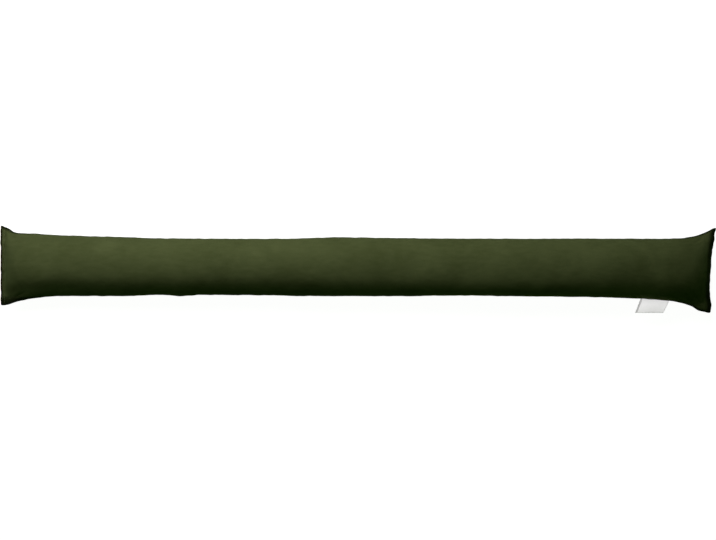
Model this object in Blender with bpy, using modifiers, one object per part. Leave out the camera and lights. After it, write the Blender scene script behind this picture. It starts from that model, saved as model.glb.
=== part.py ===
"""A draught excluder: a long cover of two cloth panels, sewn round the edge, filled, and lying on a floor.

Units are metres and +Z is up. X runs along the cushion, +Y is its far side, and Z = 0 is the floor.
The origin is the centre of the underside of the box round the whole thing.
A folded tape label is caught in the near long seam, by the right-hand end.
"""

import math
from collections import namedtuple

import bmesh
import bpy

# The cover. Each panel is FLAT_WIDTH across between its seams before it is filled.
FLAT_WIDTH = 0.118
LEFT_END = -0.500
RIGHT_END = 0.492
SEAM_HEIGHT = 0.0325
CONTACT_SOFTNESS = 0.0015
SEAM_EDGE_HALF = 0.0011
SEAM_EDGE_PROUD = 0.0008

# How the filled cloth closes to each end seam.
LEFT_CLOSURE = 0.028
RIGHT_CLOSURE = 0.034
CLOSURE_ROUNDNESS = 2.2
CLOSURE_SOFTNESS = 0.5
EMPTY_CORNER_REACH = 0.050
END_SEAM_DROOP = 0.008
END_DROOP_REACH = 0.060
BOW_REACH = 0.060

# Mesh cells in one panel.
CELLS_ALONG = 104
CELLS_ACROSS = 20
END_CROWDING = 0.78

# The label: one tape folded in half, its two raw ends caught in the seam.
LABEL_LEFT = 0.396
LABEL_WIDTH = 0.0395
LABEL_REACH = 0.0180
LABEL_FOLD_LINE = -0.0612
LABEL_SKEW = -0.0075
LABEL_DROOP = 0.0065
TAPE_THICKNESS = 0.0010
TAPE_LAYER_GAP = 0.0007
LABEL_CLEARANCE = 0.0003
LABEL_CELLS_ACROSS = 12
LABEL_CELLS_PER_LAYER = 8
LABEL_CELLS_ROUND_FOLD = 6

# The seams' lines from above: how far along, and where the near and far long seams lie.
Outline = namedtuple("Outline", "along near far")
OUTLINE = (
    Outline(-0.5000, -0.0495, 0.0608),
    Outline(-0.4900, -0.0484, 0.0572),
    Outline(-0.4835, -0.0462, 0.0528),
    Outline(-0.4734, -0.0428, 0.0511),
    Outline(-0.4450, -0.0385, 0.0498),
    Outline(-0.4170, -0.0368, 0.0479),
    Outline(-0.3330, -0.0367, 0.0455),
    Outline(-0.2774, -0.0350, 0.0437),
    Outline(-0.2494, -0.0366, 0.0435),
    Outline(-0.2214, -0.0350, 0.0430),
    Outline(-0.1094, -0.0355, 0.0432),
    Outline(-0.0254, -0.0367, 0.0449),
    Outline(0.0586, -0.0368, 0.0440),
    Outline(0.1426, -0.0357, 0.0433),
    Outline(0.2266, -0.0368, 0.0431),
    Outline(0.3106, -0.0378, 0.0434),
    Outline(0.3666, -0.0392, 0.0430),
    Outline(0.4226, -0.0421, 0.0431),
    Outline(0.4500, -0.0458, 0.0441),
    Outline(0.4660, -0.0502, 0.0464),
    Outline(0.4780, -0.0566, 0.0500),
    Outline(0.4920, -0.0604, 0.0570),
)

# How far the right-hand end seam bows out past RIGHT_END, from its near corner to its far one.
Bow = namedtuple("Bow", "across out")
RIGHT_BOW = (
    Bow(-1.0, 0.0010),
    Bow(-0.85, 0.0018),
    Bow(-0.60, -0.0012),
    Bow(-0.10, 0.0000),
    Bow(0.30, 0.0022),
    Bow(0.75, 0.0045),
    Bow(1.0, 0.0082),
)

# Where the filling lies thick or thin: the rise is added to the upper panel.
Lump = namedtuple("Lump", "along across rise reach_along reach_across")
LUMPS = (
    Lump(-0.405, 0.20, 0.0012, 0.050, 0.70),
    Lump(-0.300, -0.35, -0.0012, 0.040, 0.50),
    Lump(-0.205, 0.10, 0.0010, 0.045, 0.60),
    Lump(-0.120, -0.50, -0.0011, 0.030, 0.35),
    Lump(-0.030, 0.25, 0.0013, 0.060, 0.70),
    Lump(0.085, -0.40, -0.0012, 0.030, 0.40),
    Lump(0.180, 0.15, 0.0010, 0.050, 0.60),
    Lump(0.275, -0.30, -0.0010, 0.035, 0.45),
    Lump(0.370, 0.30, 0.0012, 0.045, 0.60),
    Lump(0.432, -0.35, -0.0016, 0.025, 0.40),
)


def smooth(share):
    """Ease from 0 to 1."""
    held = min(max(share, 0.0), 1.0)
    return held * held * (3.0 - 2.0 * held)


def along_rows(rows, key, column, place):
    """One column of a table at a place between its rows, on a smooth curve through them."""
    keys = [getattr(row, key) for row in rows]
    values = [getattr(row, column) for row in rows]
    place = min(max(place, keys[0]), keys[-1])
    i = max(n for n in range(len(rows) - 1) if keys[n] <= place)

    def slope(n):
        n = min(max(n, 1), len(rows) - 2)
        before = (values[n] - values[n - 1]) / (keys[n] - keys[n - 1])
        after = (values[n + 1] - values[n]) / (keys[n + 1] - keys[n])
        if before * after <= 0.0:
            return 0.0
        return 2.0 * before * after / (before + after)

    span = keys[i + 1] - keys[i]
    t = (place - keys[i]) / span
    from_left = values[i] * (1.0 + 2.0 * t) + slope(i) * span * t
    from_right = values[i + 1] * (3.0 - 2.0 * t) - slope(i + 1) * span * (1.0 - t)
    return from_left * (1.0 - t) ** 2 + from_right * t * t


def arc_half_angle(chord, arc):
    """The half angle of the round arc of this length over this chord: sin(angle) / angle = chord / arc."""
    low, high = 1e-6, math.pi
    for _ in range(40):
        middle = (low + high) / 2.0
        if math.sin(middle) / middle > chord / arc:
            low = middle
        else:
            high = middle
    return low


def end_fullness(along):
    """How full the cover is here, from 0 at an end seam to 1 along the middle."""
    from_left = (along - LEFT_END) / LEFT_CLOSURE
    from_right = (RIGHT_END - along) / RIGHT_CLOSURE
    share = min(max(min(from_left, from_right), 0.0), 1.0)
    return (1.0 - (1.0 - share) ** CLOSURE_ROUNDNESS) ** CLOSURE_SOFTNESS


def corner_emptiness(along):
    """From 1 at an end seam, where the filling stays out of the corners, to 0 along the middle."""
    nearest = min(along - LEFT_END, RIGHT_END - along)
    return 1.0 - smooth(nearest / EMPTY_CORNER_REACH)


def lump_rise(along, across):
    """The sum of the lumps and hollows at a place on the upper panel."""
    rise = 0.0
    for lump in LUMPS:
        far_along = (along - lump.along) / lump.reach_along
        far_across = (across - lump.across) / lump.reach_across
        rise += lump.rise * math.exp(-far_along * far_along - far_across * far_across)
    return rise


def seam_height(along, across):
    """The height of the seams' plane above the floor, lower at the unfilled ends and corners."""
    nearest = min(along - LEFT_END, RIGHT_END - along)
    droop = END_SEAM_DROOP * (1.0 - smooth(nearest / END_DROOP_REACH))
    return SEAM_HEIGHT - droop * (0.55 + 0.45 * across * across)


def settled(height):
    """A height above the floor, where what would lie below the floor is pressed flat on it."""
    if height > CONTACT_SOFTNESS:
        return height
    return max(0.0, height + CONTACT_SOFTNESS) ** 2 / (4.0 * CONTACT_SOFTNESS)


def panel_point(along, across):
    """A point of the upper panel: across runs from -1 at the near seam to 1 at the far one.

    The cloth doesn't stretch, so the panel's arc keeps its flat width, and a narrower chord rises higher.
    """
    near = along_rows(OUTLINE, "along", "near", along)
    far = along_rows(OUTLINE, "along", "far", along)
    half_angle = arc_half_angle(far - near, max(FLAT_WIDTH, 1.0005 * (far - near)))
    radius = (far - near) / 2.0 / math.sin(half_angle)
    angle = across * half_angle
    y = (near + far) / 2.0 + radius * math.sin(angle)
    rise = radius * (math.cos(angle) - math.cos(half_angle))
    tucked = 1.0 - corner_emptiness(along) * across * across
    height = SEAM_EDGE_HALF + rise * end_fullness(along) * tucked
    bow = along_rows(RIGHT_BOW, "across", "out", across)
    x = along + bow * (1.0 - smooth((RIGHT_END - along) / BOW_REACH))
    return x, y, height


def station(share):
    """A place along the cover for a share from -1 to 1, with the stations crowded towards both ends."""
    crowded = END_CROWDING * math.sin(share * math.pi / 2.0) + (1.0 - END_CROWDING) * share
    return LEFT_END + (RIGHT_END - LEFT_END) * (crowded + 1.0) / 2.0


def make_object(name, mesh, colour, roughness, collection):
    """An object in the collection, with a material of its own."""
    material = bpy.data.materials.new(name + "_material")
    material.use_nodes = True
    surface = material.node_tree.nodes["Principled BSDF"]
    surface.inputs["Base Color"].default_value = (*colour, 1.0)
    surface.inputs["Roughness"].default_value = roughness
    surface.inputs["Metallic"].default_value = 0.0
    mesh.materials.append(material)
    obj = bpy.data.objects.new(name, mesh)
    collection.objects.link(obj)
    return obj


def filled_cover(collection):
    """The filled cushion: one panel, its edge turned down to the seam, mirrored and settled on the floor."""
    panel = bmesh.new()
    along_layer = panel.verts.layers.float.new("along")
    across_layer = panel.verts.layers.float.new("across")
    bmesh.ops.create_grid(panel, x_segments=CELLS_ALONG, y_segments=CELLS_ACROSS, size=1.0)
    for vert in panel.verts:
        vert[along_layer] = station(vert.co.x)
        vert[across_layer] = vert.co.y
        vert.co = panel_point(vert[along_layer], vert[across_layer])

    border = [edge for edge in panel.edges if edge.is_boundary]
    turned = bmesh.ops.extrude_edge_only(panel, edges=border)
    for vert in (item for item in turned["geom"] if isinstance(item, bmesh.types.BMVert)):
        if abs(vert[across_layer]) > 0.999:
            vert.co.y += math.copysign(SEAM_EDGE_PROUD, vert[across_layer])
        if vert[along_layer] < LEFT_END + 1e-6:
            vert.co.x -= SEAM_EDGE_PROUD
        if vert[along_layer] > RIGHT_END - 1e-6:
            vert.co.x += SEAM_EDGE_PROUD
        vert.co.z = 0.0

    everything = panel.verts[:] + panel.edges[:] + panel.faces[:]
    bmesh.ops.mirror(panel, geom=everything, axis="Z", merge_dist=1e-6)
    for vert in panel.verts:
        along, across = vert[along_layer], vert[across_layer]
        lift = lump_rise(along, across) * end_fullness(along) if vert.co.z > SEAM_EDGE_HALF else 0.0
        vert.co.z = settled(vert.co.z + lift + seam_height(along, across))
    bmesh.ops.recalc_face_normals(panel, faces=panel.faces[:])

    mesh = bpy.data.meshes.new("filled_cover")
    panel.to_mesh(mesh)
    panel.free()
    mesh.shade_smooth()
    return make_object("filled_cover", mesh, (0.078, 0.092, 0.035), 0.92, collection)


def label_path(share):
    """How far out and how high the tape's middle lies, from one raw end (0) round the fold to the other (1)."""
    fold_radius = (TAPE_THICKNESS + TAPE_LAYER_GAP) / 2.0
    straight = LABEL_REACH - fold_radius - TAPE_THICKNESS / 2.0
    round_fold = math.pi * fold_radius
    run = share * (2.0 * straight + round_fold)
    if run < straight:
        return run, fold_radius
    if run > straight + round_fold:
        return 2.0 * straight + round_fold - run, -fold_radius
    turn = (run - straight) / fold_radius
    return straight + fold_radius * math.sin(turn), fold_radius * math.cos(turn)


def folded_label(collection):
    """The blank tape label: a strip bent round its fold, then thickened."""
    layer_cells = 2 * LABEL_CELLS_PER_LAYER + LABEL_CELLS_ROUND_FOLD
    strip = bmesh.new()
    bmesh.ops.create_grid(strip, x_segments=LABEL_CELLS_ACROSS, y_segments=layer_cells, size=0.5)
    for vert in strip.verts:
        side, share = vert.co.x + 0.5, vert.co.y + 0.5
        out, height = label_path(share)
        far_out = out / LABEL_REACH
        x = LABEL_LEFT + side * LABEL_WIDTH + LABEL_SKEW * far_out
        seam = along_rows(OUTLINE, "along", "near", LABEL_LEFT + side * LABEL_WIDTH)
        root = seam - SEAM_EDGE_PROUD - LABEL_CLEARANCE
        y = root + (LABEL_FOLD_LINE - root) * far_out
        level = seam_height(x, -1.0) - LABEL_DROOP * far_out * far_out
        vert.co = (x, y, level + height)
    bmesh.ops.recalc_face_normals(strip, faces=strip.faces[:])
    mesh = bpy.data.meshes.new("label")
    strip.to_mesh(mesh)
    strip.free()
    label = make_object("label", mesh, (0.80, 0.81, 0.79), 0.75, collection)
    thickness = label.modifiers.new("tape thickness", "SOLIDIFY")
    thickness.thickness = TAPE_THICKNESS
    thickness.offset = 0.0
    return label


for old in list(bpy.data.objects):
    bpy.data.objects.remove(old)
parts = bpy.data.collections.new("draught_excluder")
bpy.context.scene.collection.children.link(parts)
filled_cover(parts)
folded_label(parts)
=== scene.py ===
"""A draught excluder lying on a pale floor: one long filled cloth cushion with a folded label in its seam.

Units are metres, +Z is up, X runs along the cushion and +Y is its far side.
"""

import math
from collections import namedtuple

import bmesh
import bpy
import numpy as np
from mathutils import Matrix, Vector, noise


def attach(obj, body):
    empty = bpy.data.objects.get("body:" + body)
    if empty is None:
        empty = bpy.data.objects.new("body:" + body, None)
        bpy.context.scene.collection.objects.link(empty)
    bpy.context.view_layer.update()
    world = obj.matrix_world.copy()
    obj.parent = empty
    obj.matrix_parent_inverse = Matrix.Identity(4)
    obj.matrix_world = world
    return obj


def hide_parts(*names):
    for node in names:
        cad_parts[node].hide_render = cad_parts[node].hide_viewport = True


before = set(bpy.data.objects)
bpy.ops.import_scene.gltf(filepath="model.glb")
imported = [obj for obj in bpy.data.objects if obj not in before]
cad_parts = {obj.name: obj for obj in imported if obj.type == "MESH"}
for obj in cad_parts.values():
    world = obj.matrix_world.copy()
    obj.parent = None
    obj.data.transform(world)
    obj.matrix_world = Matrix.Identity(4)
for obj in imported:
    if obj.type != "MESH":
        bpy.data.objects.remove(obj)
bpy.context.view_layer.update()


# The studio
# A pale floor that the cushion lies on, one long soft light over its far side and to the left,
# a weak fill from all round, and a camera that looks straight down, as in the photo.
CAMERA_HEIGHT = 4.0
SEAM_HEIGHT = 0.0325
FRAME_WIDTH = 1.0024
CAMERA_PLACE = (-0.0002, -0.0010)
SENSOR_WIDTH = 36.0
NEAREST_SEEN, FARTHEST_SEEN = 0.1, 50.0
KEY_PLACE = Vector((-0.272, 0.484, 0.481))
KEY_AIM = Vector((-0.234, 0.208, 0.03))
KEY_SIZE = (1.397, 0.56)
KEY_POWER = 6.4
FILL_FROM_ABOVE = (0.019, 0.053, 0.003, 1.0)
FILL_FROM_BELOW = (0.080, 0.130, 0.046, 1.0)
FLOOR_SIZE = 12.0
FLOOR_WHITE = 0.35
FLOOR_GLOW = 0.975


def put(name, data):
    """A new object in the scene."""
    thing = bpy.data.objects.new(name, data)
    bpy.context.scene.collection.objects.link(thing)
    return thing


def as_mesh(form, name):
    """The plain mesh of a form."""
    mesh = bpy.data.meshes.new(name)
    form.to_mesh(mesh)
    form.free()
    return mesh


def soft_light(name, place, aim, size, power):
    """A flat light turned towards its aim, which the camera doesn't see."""
    data = bpy.data.lights.new(name, "AREA")
    data.shape = "RECTANGLE"
    data.size, data.size_y = size
    data.energy = power
    light = put(name, data)
    light.location = place
    light.rotation_mode = "QUATERNION"
    light.rotation_quaternion = (aim - place).to_track_quat("-Z", "Y")
    light.visible_camera = False
    return light


def new_material(name, values):
    """A material, and its surface shader with these constant values."""
    material = bpy.data.materials.new(name)
    material.use_nodes = True
    surface = material.node_tree.nodes["Principled BSDF"]
    for socket, value in values.items():
        surface.inputs[socket].default_value = value
    return material, surface


class Shade:
    """An output of a node: arithmetic on it adds Math nodes, and node() adds any other."""

    def __init__(self, tree, socket=None):
        self.tree, self.socket = tree, socket

    def node(self, kind, settings, sockets, output=0):
        made = self.tree.nodes.new(kind)
        for name, setting in settings.items():
            setattr(made, name, setting)
        for name, value in sockets.items():
            if isinstance(value, Shade):
                self.tree.links.new(value.socket, made.inputs[name])
            else:
                made.inputs[name].default_value = value
        return Shade(self.tree, made.outputs[output])

    def into(self, shader, name):
        self.tree.links.new(self.socket, shader.inputs[name])

    def mix(self, share, first, second):
        return self.node("ShaderNodeMix", {"data_type": "RGBA"}, {"Factor": share, 6: first, 7: second}, 2)

    def eased(self, value, low, high, at_low, at_high):
        limits = {"Value": value, "From Min": low, "From Max": high, "To Min": at_low, "To Max": at_high}
        return self.node("ShaderNodeMapRange", {"interpolation_type": "SMOOTHSTEP"}, limits)

    def maths(self, operation, first, second=0.0):
        return self.node("ShaderNodeMath", {"operation": operation}, {0: first, 1: second})

    def __add__(self, other):
        return self.maths("ADD", self, other)

    def __sub__(self, other):
        return self.maths("SUBTRACT", self, other)

    def __rsub__(self, other):
        return self.maths("SUBTRACT", other, self)

    def __mul__(self, other):
        return self.maths("MULTIPLY", self, other)

    def __truediv__(self, other):
        return self.maths("DIVIDE", self, other)

    def __rtruediv__(self, other):
        return self.maths("DIVIDE", other, self)

    __radd__ = __add__
    __rmul__ = __mul__


camera_data = bpy.data.cameras.new("camera")
camera_data.sensor_width = SENSOR_WIDTH
camera_data.lens = SENSOR_WIDTH * (CAMERA_HEIGHT - SEAM_HEIGHT) / FRAME_WIDTH
camera_data.clip_start, camera_data.clip_end = NEAREST_SEEN, FARTHEST_SEEN
camera = put("camera", camera_data)
camera.location = (*CAMERA_PLACE, CAMERA_HEIGHT)
bpy.context.scene.camera = camera

soft_light("key_light", KEY_PLACE, KEY_AIM, KEY_SIZE, KEY_POWER)

world = bpy.data.worlds.new("studio")
world.use_nodes = True
sky = Shade(world.node_tree)
direction = sky.node("ShaderNodeTexCoord", {}, {}, "Generated")
height_of = sky.node("ShaderNodeSeparateXYZ", {}, {"Vector": direction}, "Z")
fill = sky.mix(sky.maths("GREATER_THAN", height_of, 0.0), FILL_FROM_BELOW, FILL_FROM_ABOVE)
fill.into(world.node_tree.nodes["Background"], "Color")
bpy.context.scene.world = world
bpy.context.scene.view_settings.view_transform = "Standard"

floor_form = bmesh.new()
bmesh.ops.create_grid(floor_form, x_segments=1, y_segments=1, size=FLOOR_SIZE / 2.0)
floor = put("floor", as_mesh(floor_form, "floor"))
floor_paint, _ = new_material("pale_floor", {
    "Base Color": (FLOOR_WHITE, FLOOR_WHITE, FLOOR_WHITE, 1.0),
    "Roughness": 1.0,
    "Emission Color": (1.0, 1.0, 1.0, 1.0),
    "Emission Strength": FLOOR_GLOW,
})
floor.data.materials.append(floor_paint)
floor.visible_diffuse = False
floor.visible_glossy = False


# The filled cover
# Two equal long panels of short-pile cloth, sewn together round all four sides, turned right side out
# and filled with fibre. The panels are laid out flat at their cut size, blown up, and left to settle.
FLAT_WIDTH = 0.118
FLAT_LENGTH = 1.010
LEFT_END = -0.500
RIGHT_END = 0.492
SEAM_EDGE_HALF = 0.0012
NEAR_SEAM_PROUD = 0.0016
FAR_SEAM_PROUD = 0.0004
LEFT_END_PROUD = 0.0014
RIGHT_END_PROUD = 0.0026
SEAM_CREVICE = 0.0006
CLOSED_LIP = 0.0045
CONTACT_SOFTNESS = 0.0015
LEFT_CLOSURE = 0.028
RIGHT_CLOSURE = 0.019
RIGHT_EASE = 0.006
RIGHT_EASE_REACH = 0.045
CLOSURE_ROUNDNESS = 2.2
CLOSURE_SOFTNESS = 0.5
EMPTY_CORNER_REACH = 0.050
END_SEAM_DROOP = 0.008
END_DROOP_REACH = 0.060
DROOP_AT_MIDDLE, MORE_AT_CORNERS = 0.55, 0.45
LEAST_BULGE = 1.0005
BOW_REACH = 0.060
CELLS_ALONG = 250
CELLS_ACROSS = 30
END_CROWDING = 0.45
SEAM_CROWDING = 0.55
AT_SEAM = 0.9999
AT_END = 1e-6
SIMULATED_FRAMES = 30
CLOTH_QUALITY = 6
FILL_PRESSURE = 100.0
POINT_MASS = 0.001
CLOTH_TENSION = 8.0
CLOTH_SHEAR = 3.0
CLOTH_BENDING = 0.01
SEAM_HOLD = 0.9
SEAM_HOLD_STIFFNESS = 0.5
FARTHEST_MOVE = 0.012
UNEVENNESS = 0.0005
UNEVENNESS_SCALE = 70.0
UNEVENNESS_SEED = 5

Outline = namedtuple("Outline", "along near far")
OUTLINE = (
    Outline(-0.5000, -0.0495, 0.0614),
    Outline(-0.4900, -0.0484, 0.0572),
    Outline(-0.4835, -0.0464, 0.0521),
    Outline(-0.4734, -0.0431, 0.0508),
    Outline(-0.4590, -0.0407, 0.0507),
    Outline(-0.4450, -0.0387, 0.0497),
    Outline(-0.4170, -0.0368, 0.0479),
    Outline(-0.3330, -0.0367, 0.0455),
    Outline(-0.2774, -0.0350, 0.0437),
    Outline(-0.2494, -0.0366, 0.0435),
    Outline(-0.2214, -0.0350, 0.0430),
    Outline(-0.1094, -0.0357, 0.0430),
    Outline(-0.0810, -0.0367, 0.0435),
    Outline(-0.0254, -0.0367, 0.0449),
    Outline(0.0586, -0.0368, 0.0440),
    Outline(0.1426, -0.0357, 0.0433),
    Outline(0.2266, -0.0368, 0.0431),
    Outline(0.3106, -0.0378, 0.0434),
    Outline(0.3666, -0.0392, 0.0430),
    Outline(0.4226, -0.0421, 0.0431),
    Outline(0.4500, -0.0458, 0.0441),
    Outline(0.4660, -0.0502, 0.0467),
    Outline(0.4780, -0.0571, 0.0515),
    Outline(0.4920, -0.0601, 0.0586),
)
Bow = namedtuple("Bow", "across out")
RIGHT_BOW = (
    Bow(-1.0, -0.0002),
    Bow(-0.90, 0.0012),
    Bow(-0.80, 0.0019),
    Bow(-0.68, 0.0003),
    Bow(-0.55, -0.0012),
    Bow(-0.10, 0.0000),
    Bow(0.30, 0.0018),
    Bow(0.42, 0.0023),
    Bow(0.52, 0.0035),
    Bow(0.83, 0.0059),
    Bow(1.0, 0.0082),
)


def smooth(share):
    """Ease from 0 to 1."""
    held = min(max(share, 0.0), 1.0)
    return held * held * (3.0 - 2.0 * held)


def along_rows(rows, key, column, place):
    """One column of a table at a place between its rows, on a smooth curve through them."""
    keys = [getattr(row, key) for row in rows]
    values = [getattr(row, column) for row in rows]
    place = min(max(place, keys[0]), keys[-1])
    i = max(n for n in range(len(rows) - 1) if keys[n] <= place)

    def slope(n):
        n = min(max(n, 1), len(rows) - 2)
        before = (values[n] - values[n - 1]) / (keys[n] - keys[n - 1])
        after = (values[n + 1] - values[n]) / (keys[n + 1] - keys[n])
        if before * after <= 0.0:
            return 0.0
        return 2.0 * before * after / (before + after)

    span = keys[i + 1] - keys[i]
    t = (place - keys[i]) / span
    from_left = values[i] * (1.0 + 2.0 * t) + slope(i) * span * t
    from_right = values[i + 1] * (3.0 - 2.0 * t) - slope(i + 1) * span * (1.0 - t)
    return from_left * (1.0 - t) ** 2 + from_right * t * t


def arc_half_angle(chord, arc):
    """The half angle of the round arc of this length over this chord: sin(angle) / angle = chord / arc."""
    low, high = 1e-6, math.pi
    for _ in range(40):
        middle = (low + high) / 2.0
        if math.sin(middle) / middle > chord / arc:
            low = middle
        else:
            high = middle
    return low


def end_fullness(along):
    """How full the cover is here, from 0 at an end seam to 1 along the middle."""
    from_left = (along - LEFT_END - CLOSED_LIP) / LEFT_CLOSURE
    from_right = (RIGHT_END - along) / RIGHT_CLOSURE
    share = min(max(min(from_left, from_right), 0.0), 1.0)
    return (1.0 - (1.0 - share) ** CLOSURE_ROUNDNESS) ** CLOSURE_SOFTNESS


def corner_emptiness(along):
    """From 1 at an end seam, where the filling stays out of the corners, to 0 along the middle."""
    nearest = min(along - LEFT_END, RIGHT_END - along)
    return 1.0 - smooth(nearest / EMPTY_CORNER_REACH)


def seam_height(along, across):
    """The height of the seams' plane above the floor, lower at the unfilled ends and corners."""
    nearest = min(along - LEFT_END, RIGHT_END - along)
    droop = END_SEAM_DROOP * (1.0 - smooth(nearest / END_DROOP_REACH))
    return SEAM_HEIGHT - droop * (DROOP_AT_MIDDLE + MORE_AT_CORNERS * across * across)


def panel_point(along, across):
    """A point of the upper panel before it settles: across is -1 at the near seam and 1 at the far one."""
    near = along_rows(OUTLINE, "along", "near", along)
    far = along_rows(OUTLINE, "along", "far", along)
    ease = RIGHT_EASE * (1.0 - smooth((RIGHT_END - along) / RIGHT_EASE_REACH))
    half_angle = arc_half_angle(far - near, max(FLAT_WIDTH + ease, LEAST_BULGE * (far - near)))
    radius = (far - near) / 2.0 / math.sin(half_angle)
    angle = across * half_angle
    y = (near + far) / 2.0 + radius * math.sin(angle)
    rise = radius * (math.cos(angle) - math.cos(half_angle))
    tucked = 1.0 - corner_emptiness(along) * across * across
    height = SEAM_EDGE_HALF + rise * end_fullness(along) * tucked
    bow = along_rows(RIGHT_BOW, "across", "out", across)
    x = along + bow * (1.0 - smooth((RIGHT_END - along) / BOW_REACH))
    return x, y, height


def crowded(share, crowding):
    """A share from -1 to 1, with the places crowded towards both ends."""
    return crowding * math.sin(share * math.pi / 2.0) + (1.0 - crowding) * share


def number_in_order(form, layers):
    """Numbers points, edges and faces by their place on the cloth, so that each run settles alike."""
    def place(vert):
        return tuple(round(vert[layer], 6) for layer in layers)

    def by_corners(item):
        numbers = sorted(vert.index for vert in item.verts)
        return numbers[0] * len(form.verts) + numbers[-1]

    for number, vert in enumerate(sorted(form.verts, key=place)):
        vert.index = number
    form.verts.sort()
    form.verts.index_update()
    form.edges.sort(key=by_corners)
    form.faces.sort(key=by_corners)


def cover_panels():
    """The closed cover, blown up over its outline, with each point's place on the flat cloth kept."""
    form = bmesh.new()
    along_layer = form.verts.layers.float.new("along")
    across_layer = form.verts.layers.float.new("across")
    bmesh.ops.create_grid(form, x_segments=CELLS_ALONG, y_segments=CELLS_ACROSS, size=1.0)
    for vert in form.verts:
        along_share = crowded(vert.co.x, END_CROWDING)
        vert[along_layer] = LEFT_END + (RIGHT_END - LEFT_END) * (along_share + 1.0) / 2.0
        vert[across_layer] = crowded(vert.co.y, SEAM_CROWDING)
        vert.co = panel_point(vert[along_layer], vert[across_layer])
        if vert[across_layer] < -AT_SEAM:
            vert.co.y -= NEAR_SEAM_PROUD
        if vert[across_layer] > AT_SEAM:
            vert.co.y += FAR_SEAM_PROUD
        if vert[along_layer] < LEFT_END + AT_END:
            vert.co.x -= LEFT_END_PROUD
        if vert[along_layer] > RIGHT_END - AT_END:
            vert.co.x += RIGHT_END_PROUD
    border = [edge for edge in form.edges if edge.is_boundary]
    turned = bmesh.ops.extrude_edge_only(form, edges=border)
    for vert in (item for item in turned["geom"] if isinstance(item, bmesh.types.BMVert)):
        if abs(vert[across_layer]) > AT_SEAM:
            vert.co.y -= math.copysign(SEAM_CREVICE, vert[across_layer])
        if vert[along_layer] < LEFT_END + AT_END:
            vert.co.x += SEAM_CREVICE
        if vert[along_layer] > RIGHT_END - AT_END:
            vert.co.x -= SEAM_CREVICE
        vert.co.z = 0.0
    everything = form.verts[:] + form.edges[:] + form.faces[:]
    bmesh.ops.mirror(form, geom=everything, axis="Z", merge_dist=1e-6)
    side_layer = form.verts.layers.float.new("side")
    for vert in form.verts:
        vert[side_layer] = 0.0 if vert.co.z == 0.0 else math.copysign(1.0, vert.co.z)
        vert.co.z += seam_height(vert[along_layer], vert[across_layer])
    bmesh.ops.recalc_face_normals(form, faces=form.faces[:])
    number_in_order(form, (side_layer, along_layer, across_layer))
    mesh = as_mesh(form, "cover")
    ends = np.zeros(len(mesh.edges) * 2, int)
    mesh.edges.foreach_get("vertices", ends)
    mesh.edges.foreach_set("vertices", np.sort(ends.reshape(-1, 2), axis=1).ravel())
    return mesh


def worked_mesh(start):
    """The mesh that an object's modifiers make of it. The object itself is taken away."""
    mesh = bpy.data.meshes.new_from_object(start.evaluated_get(bpy.context.evaluated_depsgraph_get()))
    bpy.data.objects.remove(start)
    return mesh


def read_values(mesh, name):
    """A named number of every point, as an array."""
    values = np.zeros(len(mesh.vertices))
    mesh.attributes[name].data.foreach_get("value", values)
    return values


def read_points(mesh):
    """Every point's place, as an array of rows."""
    places = np.zeros(len(mesh.vertices) * 3)
    mesh.vertices.foreach_get("co", places)
    return places.reshape(-1, 3)


def settle_cloth(mesh):
    """Simulates the cover from its blown-up shape, with the flat panels as the cloth's own size."""
    start = put("cover_start", mesh)
    along, across = read_values(mesh, "along"), read_values(mesh, "across")
    side = read_values(mesh, "side")
    before = read_points(mesh)
    noise.seed_set(UNEVENNESS_SEED)
    uneven = np.array([noise.noise_vector(Vector(place) * UNEVENNESS_SCALE) for place in before])
    mesh.vertices.foreach_set("co", (before + uneven * UNEVENNESS).ravel())
    start.shape_key_add(name="blown up")
    flat = start.shape_key_add(name="flat panels")
    flat_along = (along - LEFT_END) * FLAT_LENGTH / (RIGHT_END - LEFT_END) + LEFT_END
    flat_places = np.stack([flat_along, across * FLAT_WIDTH / 2.0, side * SEAM_EDGE_HALF], axis=1)
    flat.data.foreach_set("co", flat_places.ravel())
    hold = start.vertex_groups.new(name="held seam")
    held = (side == 0.0) | (along < LEFT_END + CLOSED_LIP)
    hold.add([int(i) for i in np.where(held)[0]], SEAM_HOLD, "REPLACE")

    cloth = start.modifiers.new("cloth", "CLOTH")
    settings = cloth.settings
    settings.rest_shape_key = flat
    settings.quality = CLOTH_QUALITY
    settings.mass = POINT_MASS
    settings.tension_stiffness = CLOTH_TENSION
    settings.compression_stiffness = CLOTH_TENSION
    settings.shear_stiffness = CLOTH_SHEAR
    settings.bending_stiffness = CLOTH_BENDING
    settings.use_pressure = True
    settings.uniform_pressure_force = FILL_PRESSURE
    settings.vertex_group_mass = "held seam"
    settings.pin_stiffness = SEAM_HOLD_STIFFNESS
    settings.effector_weights.gravity = 0.0
    cloth.point_cache.frame_start = 1
    cloth.point_cache.frame_end = SIMULATED_FRAMES
    for number in range(1, SIMULATED_FRAMES + 1):
        bpy.context.scene.frame_set(number)
    settled_mesh = worked_mesh(start)
    bpy.context.scene.frame_set(1)

    move = read_points(settled_mesh) - before
    length = np.linalg.norm(move, axis=1, keepdims=True)
    move *= np.minimum(1.0, FARTHEST_MOVE / np.maximum(length, 1e-9))
    settled_mesh.vertices.foreach_set("co", (before + move).ravel())
    return settled_mesh


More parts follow.
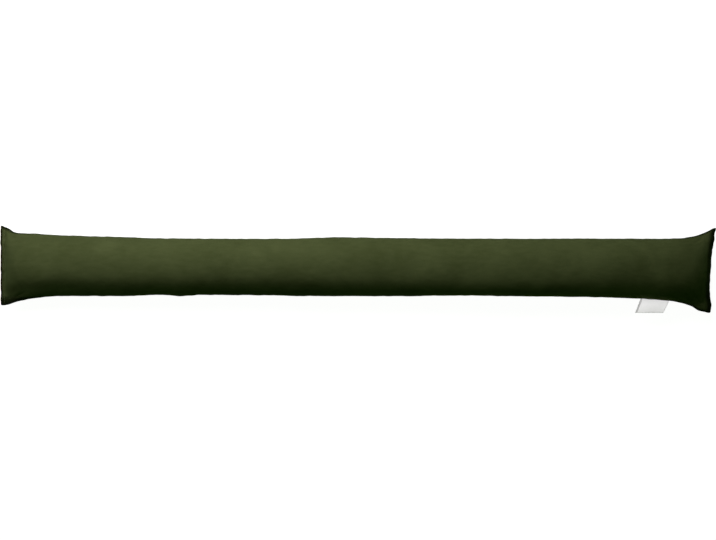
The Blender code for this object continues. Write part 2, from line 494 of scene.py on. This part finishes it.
# What the hand finds on the filled cushion: clumps and hollows of fibre, a near shoulder that is fuller
# to the right, puckers along the seams, and the flat underside where its weight presses it on the floor.
Lump = namedtuple("Lump", "along across rise reach_along reach_across")
LUMPS = (
    Lump(-0.415, -0.60, -0.0008, 0.045, 0.30),
    Lump(-0.405, 0.20, 0.0012, 0.050, 0.70),
    Lump(-0.222, -0.48, -0.0009, 0.016, 0.35),
    Lump(-0.182, -0.44, -0.0010, 0.020, 0.35),
    Lump(-0.205, 0.25, 0.0010, 0.045, 0.60),
    Lump(-0.131, -0.51, -0.0009, 0.018, 0.32),
    Lump(-0.095, -0.46, -0.0010, 0.016, 0.30),
    Lump(-0.030, 0.25, 0.0013, 0.060, 0.70),
    Lump(0.032, -0.46, -0.0012, 0.018, 0.35),
    Lump(0.098, -0.51, -0.0010, 0.020, 0.35),
    Lump(0.134, -0.48, -0.0010, 0.016, 0.30),
    Lump(0.180, 0.15, 0.0010, 0.050, 0.60),
    Lump(0.200, -0.60, 0.0023, 0.170, 0.28),
    Lump(0.232, -0.36, -0.0008, 0.030, 0.45),
    Lump(0.320, -0.46, -0.0009, 0.020, 0.35),
    Lump(0.374, -0.44, -0.0010, 0.018, 0.35),
    Lump(0.370, 0.30, 0.0012, 0.045, 0.60),
    Lump(0.405, -0.48, -0.0010, 0.016, 0.30),
)
Crease = namedtuple("Crease", "along out rise length width slant")
CREASES = (
    Crease(0.366, 0.046, -0.0007, 0.011, 0.0022, -35.0),
    Crease(0.374, 0.044, 0.0005, 0.010, 0.0022, -40.0),
    Crease(0.383, 0.045, -0.0007, 0.012, 0.0022, -30.0),
    Crease(0.396, 0.042, -0.0006, 0.014, 0.0024, -24.0),
    Crease(0.409, 0.047, -0.0006, 0.010, 0.0022, -48.0),
    Crease(0.426, 0.045, -0.0006, 0.013, 0.0026, -55.0),
    Crease(0.447, -0.047, -0.0008, 0.012, 0.0022, -30.0),
    Crease(0.457, -0.044, 0.0006, 0.012, 0.0022, -38.0),
    Crease(0.464, -0.047, -0.0008, 0.011, 0.0020, -44.0),
    Crease(0.473, -0.042, -0.0007, 0.012, 0.0022, -52.0),
    Crease(0.470, 0.044, -0.0007, 0.013, 0.0024, 46.0),
    Crease(-0.488, -0.046, -0.0008, 0.010, 0.0020, 34.0),
    Crease(-0.482, -0.042, 0.0006, 0.011, 0.0020, 28.0),
    Crease(-0.474, -0.046, -0.0008, 0.011, 0.0022, 22.0),
    Crease(-0.484, 0.047, -0.0006, 0.009, 0.0020, -36.0),
    Crease(-0.472, 0.044, -0.0005, 0.011, 0.0024, -26.0),
    Crease(-0.262, -0.044, -0.0006, 0.010, 0.0026, 62.0),
    Crease(-0.118, -0.045, -0.0006, 0.009, 0.0026, 70.0),
    Crease(0.070, 0.047, -0.0005, 0.009, 0.0026, 74.0),
    Crease(0.205, -0.045, -0.0006, 0.010, 0.0026, 66.0),
)
CLUMP_RISE = 0.0007
SHOULDER_RISE = 0.0009
SHOULDER_PLACE = 0.36
SHOULDER_REACH = 0.20
CLUMP_SCALE = 16.0
FLAT_BY_SEAM = 0.012
FLAT_BY_END = 0.030
PUCKER_RISE = 0.00065
PUCKER_REACH = 0.007
PUCKER_SCALE = 110.0
SEAM_CALM = 0.6
SEAM_CALM_REACH = 0.0015
PULL_RISE = 0.0007
PULL_REACH = 0.020
PULL_SCALE = 48.0
CREASE_RISE = 0.0013
CREASE_REACH = 0.045
CREASE_SCALE = 42.0
NOISE_GAIN = 1.6
NOISE_STRETCH = 0.25
SIDES_APART, ENDS_APART = 3.0, 2.0
STITCH_LINE = 0.0040
STITCH_GROOVE = 0.0005
STITCH_GROOVE_REACH = 0.0011
UNDERSIDE_SHIFT = 0.2


def seam_distances(along, across):
    """How far each point is, on the cloth, from the nearest long seam and the nearest end seam."""
    from_long = (1.0 - np.abs(across)) * FLAT_WIDTH / 2.0
    from_end = np.minimum(along - LEFT_END, RIGHT_END - along)
    return np.maximum(from_long, 0.0), np.maximum(from_end, 0.0)


def noise_at(places, scale):
    """Smooth noise at every place, from about -1 to 1."""
    return np.array([noise.noise(Vector(place) * scale) for place in places]) * NOISE_GAIN


def relief(along, across, side):
    """How far every point stands out from the settled cloth."""
    upper = np.where(side > 0.0, 1.0, 0.0)
    rise = np.zeros(len(along))
    for lump in LUMPS:
        far_along = (along - lump.along) / lump.reach_along
        far_across = (across - lump.across) / lump.reach_across
        rise += upper * lump.rise * np.exp(-far_along ** 2 - far_across ** 2)
    from_long, from_end = seam_distances(along, across)
    cloth_y = across * FLAT_WIDTH / 2.0
    for crease in CREASES:
        turn = math.radians(crease.slant)
        off_along, off_out = along - crease.along, cloth_y - crease.out
        down = (off_along * math.cos(turn) + off_out * math.sin(turn)) / crease.length
        beside = (off_out * math.cos(turn) - off_along * math.sin(turn)) / crease.width
        rise += upper * crease.rise * np.exp(-down ** 2 - beside ** 2)
    other_side = (1.0 - upper) * SIDES_APART
    inner = 1.0 - np.exp(-np.minimum(from_long, from_end) / FLAT_BY_SEAM)
    spread = np.stack([along, cloth_y, other_side], axis=1)
    rise += CLUMP_RISE * noise_at(spread, CLUMP_SCALE) * inner
    off_shoulder = (np.abs(across) - SHOULDER_PLACE) / SHOULDER_REACH
    rise += SHOULDER_RISE * np.exp(-off_shoulder ** 2) * (1.0 - np.exp(-from_end / FLAT_BY_END)) * upper
    seam_side = np.sign(across) + other_side
    end_side = np.sign(along) * ENDS_APART + other_side
    at_long = np.stack([along, seam_side, from_long * NOISE_STRETCH], axis=1)
    at_end = np.stack([cloth_y, end_side, from_end * NOISE_STRETCH], axis=1)
    calm = 1.0 - SEAM_CALM * np.exp(-from_long / SEAM_CALM_REACH)
    rise += PUCKER_RISE * calm * np.exp(-from_long / PUCKER_REACH) * noise_at(at_long, PUCKER_SCALE)
    rise += PUCKER_RISE * np.exp(-from_end / PUCKER_REACH) * noise_at(at_end, PUCKER_SCALE)
    rise += PULL_RISE * np.exp(-from_long / PULL_REACH) * noise_at(at_long, PULL_SCALE) * inner
    rise += CREASE_RISE * np.exp(-from_end / CREASE_REACH) * noise_at(at_end, CREASE_SCALE) * inner
    from_stitches = (along - LEFT_END - STITCH_LINE) / STITCH_GROOVE_REACH
    rise -= STITCH_GROOVE * np.exp(-from_stitches ** 2) * np.abs(side)
    return rise


def settled(heights):
    """Heights above the floor, where what would lie below the floor is pressed flat on it."""
    pressed = np.maximum(0.0, heights + CONTACT_SOFTNESS) ** 2 / (4.0 * CONTACT_SOFTNESS)
    return np.where(heights > CONTACT_SOFTNESS, heights, pressed)


def refine(mesh, levels):
    """The mesh with its faces divided and smoothed."""
    rough = put("rough", mesh)
    finer = rough.modifiers.new("finer", "SUBSURF")
    finer.levels = finer.render_levels = levels
    return worked_mesh(rough)


cover_mesh = cover_panels()
cover_mesh = settle_cloth(cover_mesh)
cover_mesh = refine(cover_mesh, 1)
cover_mesh.shade_smooth()
normals = np.zeros(len(cover_mesh.vertices) * 3)
cover_mesh.vertex_normals.foreach_get("vector", normals)
cover_along, cover_across = read_values(cover_mesh, "along"), read_values(cover_mesh, "across")
cover_side = read_values(cover_mesh, "side")
cover_places = read_points(cover_mesh)
cover_places += normals.reshape(-1, 3) * relief(cover_along, cover_across, cover_side)[:, None]
cover_places[:, 2] = settled(cover_places[:, 2])
cover_mesh.vertices.foreach_set("co", cover_places.ravel())

cloth_map = cover_mesh.uv_layers.new(name="cloth")
corners = np.zeros(len(cover_mesh.loops), int)
cover_mesh.loops.foreach_get("vertex_index", corners)
under = np.zeros(len(cover_mesh.loops))
for polygon in cover_mesh.polygons:
    lower = min(cover_side[i] for i in polygon.vertices) < 0.0
    under[polygon.loop_start:polygon.loop_start + polygon.loop_total] = UNDERSIDE_SHIFT if lower else 0.0
flat_map = np.stack([cover_along[corners], cover_across[corners] * FLAT_WIDTH / 2.0 + under], axis=1)
cloth_map.data.foreach_set("uv", flat_map.ravel())

cover = put("cover", cover_mesh)

# The cover's cloth is a matt short pile: its lay shows as soft patches, its tufts as a fine grain.
# Along its seams, most of all by the right end and in the near left corner, its colour holds painted
# shade.
PILE_DARK = (0.039, 0.048, 0.014, 1.0)
PILE_LIGHT = (0.113, 0.130, 0.054, 1.0)
PAINTED_SEAM_SHADE = (0.006, 0.009, 0.002, 1.0)
STROKE = (1.0, 2.6, 1.0)
PATCH_SCALE, BRUSH_SCALE, TUFT_SCALE = 17.0, 75.0, 1150.0
PATCH_SHARE, BRUSH_SHARE, TUFT_SHARE = 0.16, 0.09, 0.75
DARKEST_LAY, LIGHTEST_LAY = 0.40, 0.60
TUFT_BUMP, BRUSH_BUMP = 0.8, 0.2
PILE_BUMP, PILE_HEIGHT = 0.6, 0.0007
SEAM_SHADE = 0.93
SHADE_FULL, SHADE_GONE = 0.2, 1.0
LEFT_SHADE_REACH = 0.0028
RIGHT_SHADE_REACH = 0.0086
SIDE_SHADE_REACH, SIDE_NEAR_WIDER = 0.0034, 0.0006
LEFT_CORNERS_WIDER, LEFT_NEAR_WIDER = 0.0111, 0.0069
RIGHT_CORNERS_WIDER, RIGHT_NEAR_WIDER = 0.0016, -0.0016
CORNER_SHADE_LENGTH = 0.070

cover_cloth, cloth_surface = new_material("cover_cloth", {
    "Roughness": 0.95,
    "Specular IOR Level": 0.03,
    "Sheen Weight": 0.16,
    "Sheen Roughness": 0.4,
    "Sheen Tint": (0.62, 0.72, 0.34, 1.0),
})
paint = Shade(cover_cloth.node_tree)
on_cloth = paint.node("ShaderNodeUVMap", {"uv_map": "cloth"}, {})
stroked = paint.node("ShaderNodeVectorMath", {"operation": "MULTIPLY"}, {0: on_cloth, 1: STROKE})
patches = paint.node(
    "ShaderNodeTexNoise", {},
    {"Vector": on_cloth, "Scale": PATCH_SCALE, "Detail": 3.0, "Distortion": 0.7}
)
brushed = paint.node(
    "ShaderNodeTexNoise", {},
    {"Vector": stroked, "Scale": BRUSH_SCALE, "Detail": 4.0, "Distortion": 0.4}
)
tufts = paint.node(
    "ShaderNodeTexNoise", {},
    {"Vector": stroked, "Scale": TUFT_SCALE, "Detail": 3.0, "Roughness": 0.7}
)
lay = patches * PATCH_SHARE + brushed * BRUSH_SHARE + tufts * TUFT_SHARE
lay_share = paint.node(
    "ShaderNodeMapRange", {}, {"Value": lay, "From Min": DARKEST_LAY, "From Max": LIGHTEST_LAY}
)
pile = paint.mix(lay_share, PILE_DARK, PILE_LIGHT)

# Painted shade: the pile's colour is mixed towards near black at every seam, in a band that is widest at
# the right end and in the near left corner.
place = paint.node("ShaderNodeAttribute", {"attribute_name": "along"}, {}, 2)
place_across = paint.node("ShaderNodeAttribute", {"attribute_name": "across"}, {}, 2)
by_left = paint.eased(place - LEFT_END, 0.0, CORNER_SHADE_LENGTH, 1.0, 0.0)
by_right = paint.eased(RIGHT_END - place, 0.0, CORNER_SHADE_LENGTH, 1.0, 0.0)
wider_left = by_left * (LEFT_CORNERS_WIDER - place_across * LEFT_NEAR_WIDER)
wider_right = by_right * (RIGHT_CORNERS_WIDER - place_across * RIGHT_NEAR_WIDER)
side_reach = wider_left + wider_right + (SIDE_SHADE_REACH - place_across * SIDE_NEAR_WIDER)
from_sides = (1.0 - paint.maths("ABSOLUTE", place_across)) * (FLAT_WIDTH / 2.0) / side_reach
from_left = (place - LEFT_END) / LEFT_SHADE_REACH
from_right = (RIGHT_END - place) / RIGHT_SHADE_REACH
from_seam = paint.maths("MINIMUM", paint.maths("MINIMUM", from_left, from_right), from_sides)
at_seam = paint.eased(from_seam, SHADE_FULL, SHADE_GONE, SEAM_SHADE, 0.0)
paint.mix(at_seam, pile, PAINTED_SEAM_SHADE).into(cloth_surface, "Base Color")
bump = paint.node(
    "ShaderNodeBump", {},
    {"Height": tufts * TUFT_BUMP + brushed * BRUSH_BUMP, "Strength": PILE_BUMP, "Distance": PILE_HEIGHT}
)
bump.into(cloth_surface, "Normal")
cover_mesh.materials.clear()
cover_mesh.materials.append(cover_cloth)
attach(cover, "root")
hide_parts("filled_cover")


# The closing stitches
# After filling, the left end is shut by one row of olive thread, sewn through both panels along the lip.
# Each stitch is a short strand with its ends drawn down into the pile.
STITCH_PITCH = 0.0030
STITCH_LONG = 0.0026
THREAD_THICKNESS = 0.0005
ROW_INSET = 0.0030
SHORTEST, LONGEST = 0.88, 1.08
STRAND_CELLS = 8
STITCH_SEED = 7
THREAD_DARK = (0.085, 0.102, 0.036, 1.0)
THREAD_LIGHT = (0.150, 0.172, 0.078, 1.0)
TWIST_SCALE = 2200.0


def stitch_row_path():
    """The two lines that the row follows, on the lip's upper and under sides."""
    rows = np.unique(np.round(cover_along, 6))
    row = rows[np.argmin(np.abs(rows - LEFT_END - STITCH_LINE))]
    on_row = np.abs(cover_along - row) < 1e-5
    form = bmesh.new()
    for side in (1.0, -1.0):
        line = cover_places[on_row & (cover_side == side)]
        line = line[np.argsort(line[:, 1])]
        line = line[(line[:, 1] > line[0, 1] + ROW_INSET) & (line[:, 1] < line[-1, 1] - ROW_INSET)]
        points = [form.verts.new(place) for place in line]
        for first, second in zip(points, points[1:]):
            form.edges.new((first, second))
    return as_mesh(form, "stitch_path")


def stitch_tree(thread):
    """Nodes that lay one strand at every pitch along the path, each a little unlike the next."""
    tree = bpy.data.node_groups.new("stitch row", "GeometryNodeTree")
    face = tree.interface
    face.new_socket("Geometry", in_out="INPUT", socket_type="NodeSocketGeometry")
    for name in ("Pitch", "Stitch Length", "Thread Thickness"):
        face.new_socket(name, in_out="INPUT", socket_type="NodeSocketFloat")
    face.new_socket("Seed", in_out="INPUT", socket_type="NodeSocketInt")
    face.new_socket("Geometry", in_out="OUTPUT", socket_type="NodeSocketGeometry")
    given = tree.nodes.new("NodeGroupInput")
    path, pitch, long, thick, seed = (Shade(tree, given.outputs[i]) for i in range(5))
    start = Shade(tree)
    line = start.node("GeometryNodeMeshToCurve", {}, {"Mesh": path})
    places = start.node("GeometryNodeCurveToPoints", {"mode": "LENGTH"}, {"Curve": line, "Length": pitch})
    tangent = Shade(tree, places.socket.node.outputs["Tangent"])
    turned = start.node("FunctionNodeAlignRotationToVector", {"axis": "X"}, {"Vector": tangent})
    strand = start.node(
        "GeometryNodeMeshUVSphere", {},
        {"Segments": STRAND_CELLS, "Rings": STRAND_CELLS, "Radius": 0.5},
    )
    unlike = start.node(
        "FunctionNodeRandomValue", {"data_type": "FLOAT"},
        {2: SHORTEST, 3: LONGEST, "Seed": seed}, 1
    )
    size = start.node("ShaderNodeCombineXYZ", {}, {"X": long * unlike, "Y": thick, "Z": thick})
    laid = start.node(
        "GeometryNodeInstanceOnPoints", {},
        {"Points": places, "Instance": strand, "Rotation": turned, "Scale": size},
    )
    real = start.node("GeometryNodeRealizeInstances", {}, {"Geometry": laid})
    dyed = start.node("GeometryNodeSetMaterial", {}, {"Geometry": real, "Material": thread})
    dyed.into(tree.nodes.new("NodeGroupOutput"), 0)
    return tree


olive_thread, thread_surface = new_material("olive_thread", {
    "Roughness": 0.6,
    "Specular IOR Level": 0.25,
})
spun = Shade(olive_thread.node_tree)
in_thread = spun.node("ShaderNodeTexCoord", {}, {}, "Object")
twist = spun.node("ShaderNodeTexNoise", {}, {"Vector": in_thread, "Scale": TWIST_SCALE, "Detail": 1.0})
spun.mix(twist, THREAD_DARK, THREAD_LIGHT).into(thread_surface, "Base Color")

row_start = put("stitch_row_start", stitch_row_path())
sewing = row_start.modifiers.new("sewing", "NODES")
sewing.node_group = stitch_tree(olive_thread)
given_sizes = {
    "Pitch": STITCH_PITCH,
    "Stitch Length": STITCH_LONG,
    "Thread Thickness": THREAD_THICKNESS,
    "Seed": STITCH_SEED,
}
for item in sewing.node_group.interface.items_tree:
    if item.name in given_sizes:
        sewing[item.identifier] = given_sizes[item.name]
sewn = worked_mesh(row_start)
sewn.shade_smooth()
closing_stitches = put("closing_stitches", sewn)
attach(closing_stitches, "root")


# The label
# A short length of pale woven tape, folded in half, its two raw ends caught in the near long seam.
# It leans to the left and sags a little at its fold. It is bare, with a fine rib, and shade is painted
# down its left edge.
LABEL_LEFT = 0.396
LABEL_WIDTH = 0.0395
LABEL_REACH = 0.0180
LABEL_FOLD_LINE = -0.0610
LABEL_SKEW = -0.0075
LABEL_DROOP = 0.0065
LABEL_CURL = 0.0006
CURL_ACROSS, CURL_ALONG = 5.0, 2.0
TAPE_THICKNESS = 0.0005
TAPE_LAYER_GAP = 0.0008
TAPE_CAUGHT = 0.0010
LABEL_CELLS_ACROSS = 36
LABEL_CELLS_ALONG = 54


def tape_run():
    """The tape's straight length in one layer, the length round its fold, and the fold's radius."""
    radius = (TAPE_THICKNESS + TAPE_LAYER_GAP) / 2.0
    return LABEL_REACH - radius - TAPE_THICKNESS / 2.0, math.pi * radius, radius


def tape_path(share):
    """How far out and how high the tape's middle lies, from one raw end (0) to the other (1)."""
    straight, round_fold, radius = tape_run()
    run = share * (2.0 * straight + round_fold)
    if run < straight:
        return run, radius
    if run > straight + round_fold:
        return 2.0 * straight + round_fold - run, -radius
    turn = (run - straight) / radius
    return straight + radius * math.sin(turn), radius * math.cos(turn)


def near_seam_line():
    """The near long seam's line on the settled cover, as rows sorted by X."""
    line = cover_places[(cover_side == 0.0) & (cover_across < -AT_SEAM)]
    return line[np.argsort(line[:, 0])]


def folded_tape():
    """The tape, bent round its fold, its raw ends on the seam's line, with its own flat map."""
    seam_line = near_seam_line()
    straight, round_fold, _ = tape_run()
    flat_length = 2.0 * straight + round_fold
    form = bmesh.new()
    tape_map = form.loops.layers.uv.new("tape")
    bmesh.ops.create_grid(form, x_segments=LABEL_CELLS_ACROSS, y_segments=LABEL_CELLS_ALONG, size=0.5)
    for face in form.faces:
        for loop in face.loops:
            flat = loop.vert.co
            loop[tape_map].uv = ((flat.x + 0.5) * LABEL_WIDTH, (flat.y + 0.5) * flat_length)
    for vert in form.verts:
        side, share = vert.co.x + 0.5, vert.co.y + 0.5
        out, height = tape_path(share)
        far_out = out / LABEL_REACH
        at_seam = LABEL_LEFT + side * LABEL_WIDTH
        root = float(np.interp(at_seam, seam_line[:, 0], seam_line[:, 1])) + TAPE_CAUGHT
        level = float(np.interp(at_seam, seam_line[:, 0], seam_line[:, 2]))
        x = at_seam + LABEL_SKEW * far_out
        y = root + (LABEL_FOLD_LINE - root) * far_out
        curl = LABEL_CURL * math.sin(side * CURL_ACROSS + share * CURL_ALONG) * far_out
        vert.co = (x, y, level - LABEL_DROOP * far_out * far_out + curl + height)
    return as_mesh(form, "folded_tape")


label_start = put("label_start", folded_tape())
tape_body = label_start.modifiers.new("tape thickness", "SOLIDIFY")
tape_body.thickness = TAPE_THICKNESS
tape_body.offset = 0.0
label_mesh = worked_mesh(label_start)
label_form = bmesh.new()
label_form.from_mesh(label_mesh)
bmesh.ops.recalc_face_normals(label_form, faces=label_form.faces[:])
label_form.to_mesh(label_mesh)
label_form.free()
label_mesh.shade_smooth()
label_piece = put("label_tape", label_mesh)

# The tape's cloth: ribs across its width and a slightly uneven white, with a grey band of painted shade
# down its left edge.
TAPE_WHITE = (0.90, 0.90, 0.885, 1.0)
TAPE_SHADE = (0.78, 0.78, 0.765, 1.0)
PAINTED_EDGE_SHADE = (0.45, 0.45, 0.44, 1.0)
SHADED_EDGE_BAND = 0.0032
RIB_SCALE, CLOUD_SCALE = 780.0, 90.0
RIB_SHADE, CLOUD_SHADE = 0.3, 0.6
RIB_BUMP, CLOUD_BUMP = 0.7, 0.3
TAPE_BUMP, RIB_HEIGHT = 0.3, 0.00015
label_tape, tape_surface = new_material("label_tape", {
    "Roughness": 0.55,
    "Specular IOR Level": 0.35,
})
woven = Shade(label_tape.node_tree)
on_tape = woven.node("ShaderNodeUVMap", {"uv_map": "tape"}, {})
across_tape = woven.node("ShaderNodeSeparateXYZ", {}, {"Vector": on_tape})
ribs = woven.node(
    "ShaderNodeTexWave", {"bands_direction": "Y"},
    {"Vector": on_tape, "Scale": RIB_SCALE, "Distortion": 0.6, "Detail Scale": 3.0}, 1
)
cloudy = woven.node("ShaderNodeTexNoise", {}, {"Vector": on_tape, "Scale": CLOUD_SCALE, "Detail": 3.0})
white = woven.mix(cloudy * CLOUD_SHADE + ribs * RIB_SHADE, TAPE_WHITE, TAPE_SHADE)
# Painted shade: the tape's colour turns grey in a band down its left edge.
edge_shade_share = woven.eased(across_tape, SHADED_EDGE_BAND * 0.5, SHADED_EDGE_BAND, 1.0, 0.0)
woven.mix(edge_shade_share, white, PAINTED_EDGE_SHADE).into(tape_surface, "Base Color")
tape_bump = woven.node(
    "ShaderNodeBump", {},
    {"Height": ribs * RIB_BUMP + cloudy * CLOUD_BUMP, "Strength": TAPE_BUMP, "Distance": RIB_HEIGHT}
)
tape_bump.into(tape_surface, "Normal")
label_mesh.materials.clear()
label_mesh.materials.append(label_tape)
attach(label_piece, "root")
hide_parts("label")

# The cushion shades the label from the long light, so a small lamp of its own lights it as in the photo.
LABEL_LAMP_PLACE = Vector((0.36, -0.16, 0.50))
LABEL_LAMP_AIM = Vector((0.412, -0.052, 0.03))
LABEL_LAMP_SIZE = (0.16, 0.16)
LABEL_LAMP_POWER = 1.92
LABEL_LAMP_COLOUR = (1.0, 0.96, 1.02)
label_lamp = soft_light(
    "label_lamp", LABEL_LAMP_PLACE, LABEL_LAMP_AIM, LABEL_LAMP_SIZE, LABEL_LAMP_POWER
)
label_lamp.data.color = LABEL_LAMP_COLOUR
lit_by_lamp = bpy.data.collections.new("lit_by_label_lamp")
lit_by_lamp.objects.link(label_piece)
label_lamp.light_linking.receiver_collection = lit_by_lamp
